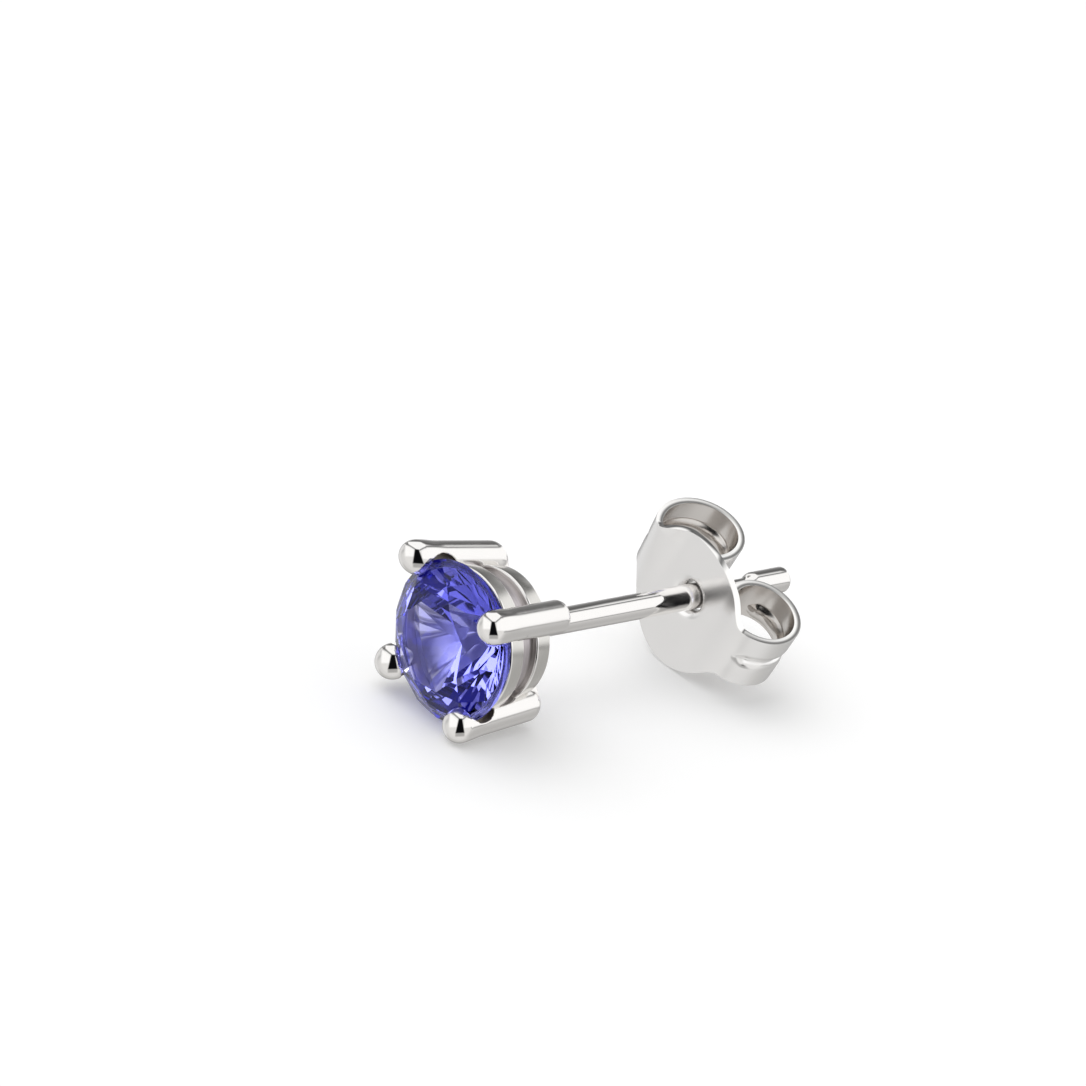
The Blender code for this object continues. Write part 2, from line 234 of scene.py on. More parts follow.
ball_radius = ball_radius.outputs["Value"]


def cloth(tree, stops):
    """The cloth's brightness from the middle of the ball to its rim, between given distances."""
    made = add_node(tree, "ShaderNodeValToRGB", {"Fac": ball_radius})
    made.color_ramp.interpolation = "EASE"
    while len(made.color_ramp.elements) < len(stops):
        made.color_ramp.elements.new(0.5)
    for element, (place, colour) in zip(made.color_ramp.elements, stops):
        element.position = place
        element.color = colour
    return made.outputs["Color"]


above = panel(tent, front_ball, [(0, 1, 0.16)], 0.16)
light = add_node(tent, "ShaderNodeMix",
                 {0: above, 6: cloth(tent, LOWER_CLOTH), 7: cloth(tent, UPPER_CLOTH)},
                 data_type="RGBA").outputs[2]
for ball, edges, soft, colour in PANELS:
    share = panel(tent, ball, edges, soft)
    light = add_node(tent, "ShaderNodeMix", {0: share, 6: light, 7: colour}, data_type="RGBA").outputs[2]
path = add_node(tent, "ShaderNodeLightPath")
in_stone = path.outputs["Is Transmission Ray"]
through_stone = light
for factor in (light, light, STONE_LIGHT):
    through_stone = add_node(tent, "ShaderNodeMix", {0: in_stone, 6: through_stone, 7: factor},
                             data_type="RGBA", blend_type="MULTIPLY").outputs[2]
through_stone = add_node(tent, "ShaderNodeMix", {0: in_stone, 6: through_stone, 7: DEEP_VIOLET},
                         data_type="RGBA", blend_type="LIGHTEN").outputs[2]
height = add_node(tent, "ShaderNodeVectorMath", {0: direction, 1: OVERHEAD}, operation="DOT_PRODUCT")
height = add_node(tent, "ShaderNodeMath", {0: height.outputs["Value"], 1: 0.0}, operation="MAXIMUM")
height = add_node(tent, "ShaderNodeMath", {0: height.outputs["Value"], 1: 3.0}, operation="POWER")
table_light = add_node(tent, "ShaderNodeMath",
                       {0: height.outputs["Value"], 1: OVERHEAD_LIGHT, 2: SIDE_LIGHT},
                       operation="MULTIPLY_ADD").outputs["Value"]
spread_light = add_node(tent, "ShaderNodeMix",
                        {0: path.outputs["Is Diffuse Ray"], 6: through_stone, 7: table_light},
                        data_type="RGBA").outputs[2]
backdrop = add_node(tent, "ShaderNodeMix",
                    {0: path.outputs["Is Camera Ray"], 6: spread_light, 7: linear("#FBFBFB")},
                    data_type="RGBA").outputs[2]
background = add_node(tent, "ShaderNodeBackground", {"Color": backdrop, "Strength": 1.0})
add_node(tent, "ShaderNodeOutputWorld", {"Surface": background.outputs["Background"]})
print("light tent of", len(PANELS), "panels,", len(tent.nodes), "nodes")

# %% [markdown]
# The stud lies on a white table. Its light is a wide lamp overhead and a little from all round, so the
# shadows are soft, close under the parts and a shade longer towards the camera. A small glow of its own
# keeps them as pale as on a lit glass table. The metal doesn't see the table: in the tent the lower cloth
# stands for it, a shade darker than the white below the camera.

# %% Table
TABLE_HALF = 3.0


def table_material():
    """White coated paper on glass: dull white with a little light from below."""
    made = bpy.data.materials.new("lit_white_paper")
    made.use_nodes = True
    tree = made.node_tree
    tree.nodes.clear()
    dull = add_node(tree, "ShaderNodeBsdfDiffuse", {"Color": linear("#F2F2F2")})
    glow = add_node(tree, "ShaderNodeEmission", {"Color": linear("#FFFFFF"), "Strength": 0.14})
    both = add_node(tree, "ShaderNodeAddShader", {0: dull.outputs[0], 1: glow.outputs[0]})
    add_node(tree, "ShaderNodeOutputMaterial", {"Surface": both.outputs[0]})
    return made


corners = np.array([[-1.0, -1.0, 0.0], [1.0, -1.0, 0.0], [1.0, 1.0, 0.0], [-1.0, 1.0, 0.0]]) * TABLE_HALF
table_mesh = bpy.data.meshes.new("table_top")
table_mesh.from_pydata(corners.tolist(), [], [(0, 1, 2, 3)])
table_top = bpy.data.objects.new("table_top", table_mesh)
bpy.context.scene.collection.objects.link(table_top)
table_mesh.materials.append(table_material())
table_top.visible_glossy = False
print("table", TABLE_HALF * 2, "m wide")

# %% [markdown]
# The metal is sterling silver plated with rhodium, which stays bright and almost white, a little warm.
# Polished parts are near mirrors. What tells the eye that they are real metal is small: a roughness that
# wanders between well and less well buffed patches, and buffing marks so fine that they only soften the
# lights' edges. The ball tips are burnished one by one with a cup tool, so they show the slit sharply,
# while the shafts behind them were only tumbled and show it as soft grey. A mirror seen in a mirror is kept
# soft, which also keeps the picture quiet.

# %% Metal finishes


BURNISHED_TO = -6.55
TUMBLED_FROM = -6.05


def silver(name, tint, roughness, patch_mm, mark_mm, mark_height, behind_tips=1.0, in_mirror=0.0):
    """Plated silver: metallic, with a roughness that wanders in patches and very shallow buffing marks.

    Behind the finger tips it is behind_tips times as rough, and in another mirror at least in_mirror."""
    made = bpy.data.materials.new(name)
    made.use_nodes = True
    tree = made.node_tree
    shader = tree.nodes["Principled BSDF"]
    shader.inputs["Base Color"].default_value = linear(tint)
    shader.inputs["Metallic"].default_value = 1.0
    where = add_node(tree, "ShaderNodeTexCoord").outputs["Object"]
    patches = add_node(tree, "ShaderNodeTexNoise", {"Vector": where, "Scale": 1.0 / (patch_mm * MILLIMETRE),
                                                    "Detail": 3.0})
    spread = add_node(tree, "ShaderNodeMapRange", {"Value": patches.outputs["Fac"], "From Min": 0.3,
                                                   "From Max": 0.7, "To Min": 0.75 * roughness,
                                                   "To Max": 1.3 * roughness})
    marks = add_node(tree, "ShaderNodeTexNoise", {"Vector": where, "Scale": 1.0 / (mark_mm * MILLIMETRE),
                                                  "Detail": 4.0})
    relief = add_node(tree, "ShaderNodeBump", {"Height": marks.outputs["Fac"], "Strength": 0.5,
                                               "Distance": mark_height * MILLIMETRE})
    along = add_node(tree, "ShaderNodeSeparateXYZ", {"Vector": where}).outputs["X"]
    behind = add_node(tree, "ShaderNodeMapRange", {"Value": along, "From Min": BURNISHED_TO * MILLIMETRE,
                                                   "From Max": TUMBLED_FROM * MILLIMETRE, "To Min": 1.0,
                                                   "To Max": behind_tips})
    worn = add_node(tree, "ShaderNodeMath", {0: spread.outputs["Result"], 1: behind.outputs["Result"]},
                    operation="MULTIPLY")
    mirrored = add_node(tree, "ShaderNodeLightPath").outputs["Is Glossy Ray"]
    least = add_node(tree, "ShaderNodeMath", {0: mirrored, 1: in_mirror}, operation="MULTIPLY")
    final = add_node(tree, "ShaderNodeMath", {0: worn.outputs["Value"], 1: least.outputs["Value"]},
                     operation="MAXIMUM")
    tree.links.new(final.outputs["Value"], shader.inputs["Roughness"])
    tree.links.new(relief.outputs["Normal"], shader.inputs["Normal"])
    return made


polished_silver = silver("rhodium_plated_silver", "#F7F5F3", 0.05, 0.9, 0.25, 0.0003, in_mirror=0.38)
finger_silver = silver("rhodium_plated_fingers", "#F7F5F3", 0.05, 0.9, 0.25, 0.0003, behind_tips=3.0,
                       in_mirror=0.38)
# The rails' flat faces take a darker tint of the same silver: painted shade, for the darker reflections they
# show.
rail_silver_painted_shade = silver("rhodium_plated_rail_faces_painted_shade", "#E0DEDA", 0.20, 0.9, 0.25, 0.0003)
satin_silver = silver("tumbled_plated_silver", "#FDFCFB", 0.20, 0.9, 0.30, 0.0001)
# Inside the roll the same silver is tinted a darker taupe: painted shade of the roll's hollow.
roll_inside_painted_shade = silver("tumbled_silver_inside_the_roll_painted_shade", "#DEDAD6", 0.20, 0.9, 0.30, 0.0001)
edge_silver = silver("polished_sheet_edge", "#FBFAF8", 0.06, 0.7, 0.30, 0.0001)
cut_silver = silver("bur_cut_silver_in_the_bearings", "#958D86", 0.42, 0.3, 0.05, 0.0010)
metals = (polished_silver, finger_silver, rail_silver_painted_shade, satin_silver, roll_inside_painted_shade, edge_silver, cut_silver)
print("metals", [metal.name for metal in metals])

# %% [markdown]
# Every new surface is a grid of points or a stack of rings. The faces of such a grid follow from counting,
# so one function numbers them for all pieces, and another makes the mesh, turns its faces outwards and sets
# it in place.

# %% From points to pieces


def grid_faces(rows, columns, rows_close=False, columns_close=False):
    """Quads between the points of a grid numbered row by row; a closed direction joins end to start."""
    row = np.arange(rows if rows_close else rows - 1)[:, None]
    column = np.arange(columns if columns_close else columns - 1)[None, :]
    next_row = (row + 1) % rows
    next_column = (column + 1) % columns
    quads = np.stack([row * columns + column, row * columns + next_column,
                      next_row * columns + next_column, next_row * columns + column], axis=-1)
    return quads.reshape(-1, 4).tolist()


def poled(rings, first, last):
    """Rings of points closed by a pole at each end: the quads between rings and the fans to the poles."""
    count, around = rings.shape[:2]
    points = np.vstack([rings.reshape(-1, 3), first, last])
    faces = grid_faces(count, around, columns_close=True)
    step = np.arange(around)
    after = (step + 1) % around
    top = count * around
    faces += np.stack([np.full(around, top), after, step], axis=-1).tolist()
    base = (count - 1) * around
    faces += np.stack([np.full(around, top + 1), base + step, base + after], axis=-1).tolist()
    return points, faces


def make_piece(name, points, faces, body, finishes, smooth=True, weld=0.0):
    """A mesh object in its place, with its faces outwards, riding on a body of the frame."""
    mesh = bpy.data.meshes.new(name)
    mesh.from_pydata(placed(points).tolist(), [], faces)
    shape = bmesh.new()
    shape.from_mesh(mesh)
    if weld:
        bmesh.ops.remove_doubles(shape, verts=shape.verts, dist=weld * MILLIMETRE)
    bmesh.ops.recalc_face_normals(shape, faces=shape.faces)
    for face in shape.faces:
        face.smooth = smooth
    shape.to_mesh(mesh)
    shape.free()
    for finish in finishes:
        mesh.materials.append(finish)
    piece = bpy.data.objects.new(name, mesh)
    bpy.context.scene.collection.objects.link(piece)
    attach(piece, body)
    print(name, len(mesh.vertices), "points", len(mesh.polygons), "faces")
    return piece


# %% [markdown]
# The stone is a round brilliant, ground flat facet by flat facet. Its facets follow from a few proportions:
# the table's width, the crown's and the pavilion's angles, and how far the star and lower-half facets
# reach. The half facets meet the round girdle in shallow scallops, because a plane cuts a cylinder in a
# curve. That edge isn't polished, so it gets a finish of its own, dull against the clear facets.

# %% The stone's shape
STONE_RADIUS = 2.5
TABLE_RADIUS = 1.425
STAR_RADIUS = 1.91
LOWER_RADIUS = 0.55
GIRDLE_HALF = 0.08
CROWN_SLOPE = math.tan(math.radians(34.5))
PAVILION_SLOPE = math.tan(math.radians(40.75))
STONE_TURNED = math.radians(11.125)
EIGHTH = math.pi / 4
HALF_STEPS = 6


def girdle_height(slope, inner_radius, offset):
    """Height of a half facet over the girdle's edge, on its cylinder at an angle from the main facet.

    The plane goes through its inner point, half way to the next main facet, and two points of the edge."""
    off = math.cos(EIGHTH / 2)
    inner = (STONE_RADIUS - inner_radius * off) * slope
    middle = EIGHTH / 4
    edge = STONE_RADIUS * math.cos(middle)
    reach = inner_radius * math.cos(middle)
    rise = inner / (edge - reach)
    return (edge - STONE_RADIUS * np.cos(offset - middle)) * rise


def stone_ring(radius, height, angles):
    """Points of the stone at a radius and a height over the girdle; the table faces -X."""
    height = np.broadcast_to(height, angles.shape)
    return np.stack([-height, radius * np.cos(angles), radius * np.sin(angles)], axis=-1)


def brilliant():
    """The points and facets of the round brilliant, with the index of the first girdle face."""
    main = STONE_TURNED + EIGHTH * np.arange(8)
    between = main + EIGHTH / 2
    steps = np.arange(16 * HALF_STEPS)
    girdle = STONE_TURNED + steps * EIGHTH / (2 * HALF_STEPS)
    offset = np.abs((steps + HALF_STEPS) % (2 * HALF_STEPS) - HALF_STEPS) * EIGHTH / (2 * HALF_STEPS)
    off = math.cos(EIGHTH / 2)
    table = stone_ring(TABLE_RADIUS, GIRDLE_HALF + (STONE_RADIUS - TABLE_RADIUS) * CROWN_SLOPE, main)
    star = stone_ring(STAR_RADIUS, GIRDLE_HALF + (STONE_RADIUS - STAR_RADIUS * off) * CROWN_SLOPE, between)
    lower_depth = (STONE_RADIUS - LOWER_RADIUS * off) * PAVILION_SLOPE
    lower = stone_ring(LOWER_RADIUS, -GIRDLE_HALF - lower_depth, between)
    culet = np.array([[GIRDLE_HALF + STONE_RADIUS * PAVILION_SLOPE, 0.0, 0.0]])
    upper_scallop = girdle_height(CROWN_SLOPE, STAR_RADIUS, offset)
    lower_scallop = girdle_height(PAVILION_SLOPE, LOWER_RADIUS, offset)
    upper_edge = stone_ring(STONE_RADIUS, GIRDLE_HALF + upper_scallop, girdle)
    lower_edge = stone_ring(STONE_RADIUS, -GIRDLE_HALF - lower_scallop, girdle)
    points = np.vstack([table, star, lower, culet, upper_edge, lower_edge])
    count = len(girdle)
    up, down = 25, 25 + count
    faces = [list(range(8))]
    for k in range(8):
        nearer, after = (k - 1) % 8, (k + 1) % 8
        at_main = 2 * HALF_STEPS * k
        faces.append([k, after, 8 + k])
        faces.append([k, 8 + k, up + at_main, 8 + nearer])
        faces.append([24, 16 + nearer, down + at_main, 16 + k])
        for first in (at_main, at_main + HALF_STEPS):
            run = [(first + i) % count for i in range(HALF_STEPS + 1)]
            faces.append([8 + k] + [up + i for i in run])
            faces.append([16 + k] + [down + i for i in run])
    polished = len(faces)
    for i in range(count):
        j = (i + 1) % count
        faces.append([up + i, up + j, down + j, down + i])
    return points, faces, polished


# %% [markdown]
# Tanzanite bends light by about 1.69 and takes red and green out of it on the way. The colour is put where
# it is in the real stone, in the depth: clear glass on the outside with a violet that absorbs inside, so
# that short paths near the girdle stay lavender and long paths under the table go deep violet-blue.

# %% The stone's finish


def violet_stone(name, roughness, dull):
    """A clear faceted stone whose violet is absorbed over depth; dull is the unpolished girdle."""
    made = bpy.data.materials.new(name)
    made.use_nodes = True
    tree = made.node_tree
    shader = tree.nodes["Principled BSDF"]
    shader.inputs["Base Color"].default_value = linear("#F4F4FF")
    shader.inputs["Roughness"].default_value = roughness
    shader.inputs["IOR"].default_value = 1.69
    shader.inputs["Specular IOR Level"].default_value = 0.15
    shader.inputs["Specular Tint"].default_value = linear("#8F90F0")
    shader.inputs["Transmission Weight"].default_value = 1.0
    depth = add_node(tree, "ShaderNodeVolumeAbsorption", {"Color": linear("#7073F6"), "Density": 340.0})
    tree.links.new(depth.outputs["Volume"], tree.nodes["Material Output"].inputs["Volume"])
    if dull:
        where = add_node(tree, "ShaderNodeTexCoord").outputs["Object"]
        grit = add_node(tree, "ShaderNodeTexNoise", {"Vector": where, "Scale": 1.0 / (0.05 * MILLIMETRE),
                                                     "Detail": 3.0})
        relief = add_node(tree, "ShaderNodeBump", {"Height": grit.outputs["Fac"], "Strength": 0.6,
                                                   "Distance": 0.004 * MILLIMETRE})
        tree.links.new(relief.outputs["Normal"], shader.inputs["Normal"])
    return made


stone_points, stone_faces, first_girdle = brilliant()
stone = make_piece("violet_brilliant", stone_points, stone_faces, "head",
                   [violet_stone("faceted_tanzanite", 0.0, False),
                    violet_stone("bruted_girdle", 0.35, True)],
                   smooth=False)
for face in stone.data.polygons[first_girdle:]:
    face.material_index = 1
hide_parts("stone")

# %% [markdown]
# A finger is a rod with a ball at its tip, bent over the girdle, and an arched bearing that a round bur has
# cut for the stone. Booleans would cut it too, but they leave ragged edges that show in a mirror finish.
# Instead each cross section is a circle out of which the turned shape of the stone and the bur takes a
# bite. From a point inside what is left, both circles are reached at distances that one formula gives, and
# the nearer one is the surface. Where the bur has cut, nothing polishes the metal again, so the bitten
# faces have a dull finish of their own.

# %% The setting's fingers
TIP_RADIUS = 0.555
TIP_CENTRE = -0.39
TIP_CIRCLE = 2.505
TIP_POLE = 0.06
TIP_TAPER = 0.75
FINGER_RADIUS = 0.515
FOOT = 2.20
FOOT_CIRCLE = 2.295
FINGER_END = 2.64
END_ROUNDING = 0.38
END_ROUNDING_INSIDE = 0.20
BITE_EDGE = 0.022
BEARING_CENTRE = 0.12
BEARING_CIRCLE = 2.12
BEARING_RADIUS = 0.54
CLEARANCE = 0.02
FAR_AWAY = 9.0


def smooth_least(first, second, width):
    """The lesser of two values, with the corner between them rounded over a width."""
    blend = np.clip(0.5 + 0.5 * (second - first) / width, 0.0, 1.0)
    return second + (first - second) * blend - width * blend * (1.0 - blend)


def smooth_step(value, low, high):
    """Rises from 0 at low to 1 at high without a corner."""
    share = np.clip((value - low) / (high - low), 0.0, 1.0)
    return share * share * (3.0 - 2.0 * share)


def bite_radius(x):
    """How far from the axis the stone and the bur reach at a place along it."""
    crown = STONE_RADIUS + CLEARANCE - np.maximum(0.0, -GIRDLE_HALF - x) / CROWN_SLOPE
    pavilion = STONE_RADIUS + CLEARANCE - np.maximum(0.0, x - GIRDLE_HALF) / PAVILION_SLOPE
    bur = BEARING_CIRCLE + np.sqrt(np.maximum(0.0, BEARING_RADIUS ** 2 - (x - BEARING_CENTRE) ** 2))
    bur = np.where(np.abs(x - BEARING_CENTRE) < BEARING_RADIUS, bur, 0.0)
    return np.maximum(np.minimum(crown, pavilion), bur)


def finger(side, up, lean):
    """A finger by the place along the axis and the angle round its own middle, and its cut faces."""
    ball = TIP_CENTRE - TIP_RADIUS * np.cos(np.linspace(TIP_POLE, math.pi / 2, 18))
    shaft = np.linspace(TIP_CENTRE, FINGER_END - END_ROUNDING, 110)[1:]
    end_turn = np.linspace(0.0, math.pi / 2, 19)[1:]
    x = np.concatenate([ball, shaft, FINGER_END - END_ROUNDING + END_ROUNDING * np.sin(end_turn)])
    behind_ball = smooth_step(x, TIP_CENTRE, TIP_CENTRE + TIP_TAPER)
    radius = FINGER_RADIUS + (TIP_RADIUS - FINGER_RADIUS) * (1.0 - behind_ball)
    radius[:len(ball)] = np.sqrt(TIP_RADIUS ** 2 - (ball - TIP_CENTRE) ** 2)
    rounded_off = 1.0 - np.cos(end_turn)
    radius[-len(end_turn):] = FINGER_RADIUS - 0.5 * (END_ROUNDING + END_ROUNDING_INSIDE) * rounded_off
    lowered = 0.5 * (END_ROUNDING - END_ROUNDING_INSIDE) * rounded_off
    share = (x - TIP_CENTRE) / (FOOT - TIP_CENTRE)
    tip = np.array([side * TIP_CIRCLE * math.sqrt(0.5) + lean, up * TIP_CIRCLE * math.sqrt(0.5)])
    foot = np.array([side, up]) * FOOT_CIRCLE * math.sqrt(0.5)
    middle = tip + share[:, None] * (foot - tip)
    out = np.hypot(middle[:, 0], middle[:, 1])
    outwards = middle / out[:, None]
    out[-len(end_turn):] -= lowered
    sideways = np.stack([-outwards[:, 1], outwards[:, 0]], axis=-1)
    bite = bite_radius(x)
    seen_from = np.maximum(out, 0.5 * (bite + out + radius))
    shift = (seen_from - out)[:, None]
    angle = np.linspace(0.0, 2.0 * math.pi, 97)[None, :-1]
    cos, sin = np.cos(angle), np.sin(angle)
    to_rod = -shift * cos + np.sqrt(np.maximum(0.0, radius[:, None] ** 2 - (shift * sin) ** 2))
    root = (seen_from[:, None] * cos) ** 2 - seen_from[:, None] ** 2 + bite[:, None] ** 2
    to_bite = np.where((cos < 0) & (root > 0),
                       -seen_from[:, None] * cos - np.sqrt(np.maximum(0.0, root)), FAR_AWAY)
    reach = smooth_least(to_rod, to_bite, BITE_EDGE)
    flat = (outwards * seen_from[:, None])[:, None, :] + reach[..., None] * (
        cos[..., None] * outwards[:, None, :] + sin[..., None] * sideways[:, None, :])
    rings = np.concatenate([np.broadcast_to(x[:, None, None], flat.shape[:2] + (1,)), flat], axis=-1)
    front = rings[0].mean(axis=0) - np.array([TIP_RADIUS * (1.0 - math.cos(TIP_POLE)), 0.0, 0.0])
    points, faces = poled(rings, front, rings[-1].mean(axis=0))
    bitten = to_bite < to_rod
    cut = np.zeros(len(faces), dtype=np.int32)
    cut[:bitten[1:].size] = (bitten[:-1] & bitten[1:]).reshape(-1)
    return points, faces, cut


FINGERS = {"finger_high_far": (1, 1, 0.25), "finger_high_near": (-1, 1, 0.0),
           "finger_low_near": (-1, -1, 0.0), "finger_low_far": (1, -1, -0.15)}
setting_pieces = []
for finger_name, (side, up, lean) in FINGERS.items():
    finger_points, finger_faces, finger_cut = finger(side, up, lean)
    piece = make_piece(finger_name, finger_points, finger_faces, "head",
                       [finger_silver, cut_silver])
    piece.data.polygons.foreach_set("material_index", finger_cut)
    setting_pieces.append(piece)

# %% [markdown]
# The two rails are bands that follow the narrowing of the basket. Their edges were broken with a file and
# then polished, and it is these narrow rounded edges that catch the bright lines in the picture. So the
# section of a band is a rectangle with rounded corners, carried once round the axis. A thinner band set
# back between them closes the basket. No polishing wheel reaches it there, so it keeps the fine lines of
# turning; its grey, darker than the plated silver, is painted shade of the recess between the rails.

# %% The setting's rails
RAIL_ROUNDING = 0.07
RAIL_WALL = 0.34
RAIL_WIDTH = 0.63
RAIL_FRONTS = {"upper_rail": 0.32, "lower_rail": 1.56}
WALL_FRONT = 0.85
WALL_BACK = 1.66
WALL_RECESS = 0.18
WALL_THICKNESS = 0.19
BASKET_FRONT = 0.32
BASKET_RADIUS = 2.348
BASKET_SLOPE = (BASKET_RADIUS - 2.014) / (2.19 - BASKET_FRONT)
CORNER_POINTS = 6


def rounded_loop(corners, rounding, steps=CORNER_POINTS):
    """A closed outline with its corners rounded: each corner is an arc that touches both its sides."""
    corners = np.asarray(corners, dtype=float)
    before = corners - np.roll(corners, 1, axis=0)
    after = np.roll(corners, -1, axis=0) - corners
    before /= np.linalg.norm(before, axis=1)[:, None]
    after /= np.linalg.norm(after, axis=1)[:, None]
    cross = before[:, 0] * after[:, 1] - before[:, 1] * after[:, 0]
    turn = np.arctan2(cross, (before * after).sum(axis=1))
    side = np.sign(turn)[:, None]
    inwards = side * np.stack([-before[:, 1], before[:, 0]], axis=-1)
    start = corners - before * (rounding * np.tan(np.abs(turn) / 2))[:, None]
    centre = start + inwards * rounding
    angle = turn[:, None] * np.linspace(0.0, 1.0, steps)[None, :]
    arm = -inwards[:, None, :] * rounding
    cos, sin = np.cos(angle), np.sin(angle)
    swung = np.stack([arm[..., 0] * cos - arm[..., 1] * sin,
                      arm[..., 0] * sin + arm[..., 1] * cos], axis=-1)
    return (centre[:, None, :] + swung).reshape(-1, 2)


def band(front, back, recess, thickness, rounding):
    """A band of the basket: a rounded section (along the axis, distance from it) carried round the axis."""
    outer_front = BASKET_RADIUS - BASKET_SLOPE * (front - BASKET_FRONT) - recess
    outer_back = BASKET_RADIUS - BASKET_SLOPE * (back - BASKET_FRONT) - recess
    section = rounded_loop([(front, outer_front), (back, outer_back), (back, outer_back - thickness),
                            (front, outer_front - thickness)], rounding)
    angle = np.linspace(0.0, 2.0 * math.pi, 181)[:-1]
    rings = np.stack([np.broadcast_to(section[None, :, 0], (len(angle), len(section))),
                      section[None, :, 1] * np.cos(angle)[:, None],
                      section[None, :, 1] * np.sin(angle)[:, None]], axis=-1)
    return rings.reshape(-1, 3), grid_faces(len(angle), len(section), rows_close=True, columns_close=True)


def streaked_silver(name, dark, pale):
    """Silver that was only turned, not polished: satin, with lines that run round the axis of the basket. The
    dark and pale tints are painted shade.
    """
    made = bpy.data.materials.new(name)
    made.use_nodes = True
    tree = made.node_tree
    shader = tree.nodes["Principled BSDF"]
    shader.inputs["Metallic"].default_value = 1.0
    shader.inputs["Roughness"].default_value = 0.36
    where = add_node(tree, "ShaderNodeTexCoord").outputs["Object"]
    squeezed = add_node(tree, "ShaderNodeVectorMath", {0: where, 1: (1.0, 0.04, 0.04)},
                        operation="MULTIPLY")
    lines = add_node(tree, "ShaderNodeTexNoise", {"Vector": squeezed.outputs["Vector"],
                                                  "Scale": 1.0 / (0.06 * MILLIMETRE), "Detail": 2.0})
    shade = add_node(tree, "ShaderNodeMix", {0: lines.outputs["Fac"], 6: linear(dark), 7: linear(pale)},
                     data_type="RGBA")
    tree.links.new(shade.outputs[2], shader.inputs["Base Color"])
    return made


# Each rail's flat faces get the darker tint, which is painted shade; its rounded edges stay polished.
for rail_name, rail_front in RAIL_FRONTS.items():
    rail_points, rail_faces = band(rail_front, rail_front + RAIL_WIDTH, 0.0, RAIL_WALL, RAIL_ROUNDING)
    piece = make_piece(rail_name, rail_points, rail_faces, "head",
                       [polished_silver, rail_silver_painted_shade])
    flat_face = np.arange(len(rail_faces)) % CORNER_POINTS == CORNER_POINTS - 1
    piece.data.polygons.foreach_set("material_index", flat_face.astype(np.int32))
    setting_pieces.append(piece)
# The wall's two greys are painted shade of the recess between the rails; the streaks between them are the
# lines of turning.
wall_points, wall_faces = band(WALL_FRONT, WALL_BACK, WALL_RECESS, WALL_THICKNESS, 0.02)
setting_pieces.append(make_piece("basket_wall", wall_points, wall_faces, "head",
                                 [streaked_silver("turned_silver_wall_painted_shade", "#B3ACA9", "#E2DCE2")]))

# %% [markdown]
# Behind the stone two bars cross from finger to finger, and in their middle sits a small pad that the post
# is soldered to. The bars are a rounded section carried between two opposite fingers, wider where they run
# into them. Pad, solder fillet, post, notch and end are one turned outline: notched posts like this one let
# the back click.

# %% The cross and the post
CROSS_MIDDLE = 2.46
CROSS_DEPTH = 0.32
CROSS_WIDTH = 0.60
CROSS_ROUNDING = 0.22
CROSS_REACH = 2.25
CROSS_FLARE = 0.35
CROSS_FLARE_FROM = 1.3
PAD_FRONT = 2.34
PAD_BACK = 2.76
PAD_RADIUS = 0.85
PAD_ROUNDING = 0.08
SOLDER_FILLET = 0.14
POST_RADIUS = 0.40
POST_END = 13.65
POST_ROUNDING = 0.16
NOTCH_RADIUS = 0.26
NOTCH_FRONT = 10.85
NOTCH_FRONT_SLOPE = 0.28
NOTCH_BACK = 11.92
NOTCH_BACK_SLOPE = 0.40


def cross_bar(turn):
    """A bar between opposite fingers: its section widens towards both ends by a smooth step."""
    section = rounded_loop([(-0.5, -0.5), (0.5, -0.5), (0.5, 0.5), (-0.5, 0.5)], CROSS_ROUNDING)
    along = np.linspace(-CROSS_REACH, CROSS_REACH, 61)
    wider = 1.0 + CROSS_FLARE * smooth_step(np.abs(along), CROSS_FLARE_FROM, CROSS_REACH)
    depth = section[None, :, 0] * CROSS_DEPTH + CROSS_MIDDLE
    width = section[None, :, 1] * CROSS_WIDTH * wider[:, None]
    flat = along[:, None]
    rings = np.stack([np.broadcast_to(depth, width.shape), flat * math.cos(turn) - width * math.sin(turn),
                      flat * math.sin(turn) + width * math.cos(turn)], axis=-1)
    return poled(rings, rings[0].mean(axis=0), rings[-1].mean(axis=0))


def turned(profile, around=96):
    """A turned shape: the outline (along the axis, distance from it) carried round, closed by poles."""
    profile = np.asarray(profile)
    angle = np.linspace(0.0, 2.0 * math.pi, around + 1)[:-1]
    rings = np.stack([np.broadcast_to(profile[1:-1, 0, None], (len(profile) - 2, around)),
                      profile[1:-1, 1, None] * np.cos(angle),
                      profile[1:-1, 1, None] * np.sin(angle)], axis=-1)
    return poled(rings, np.array([profile[0, 0], 0.0, 0.0]), np.array([profile[-1, 0], 0.0, 0.0]))


def quarter(centre_x, centre_r, radius, start, stop, steps=7):
    """Points (along, out) of an arc between two angles in degrees; 0 is along the post, 90 away from it."""
    angle = np.radians(np.linspace(start, stop, steps))
    return np.stack([centre_x + radius * np.cos(angle), centre_r + radius * np.sin(angle)], axis=-1)


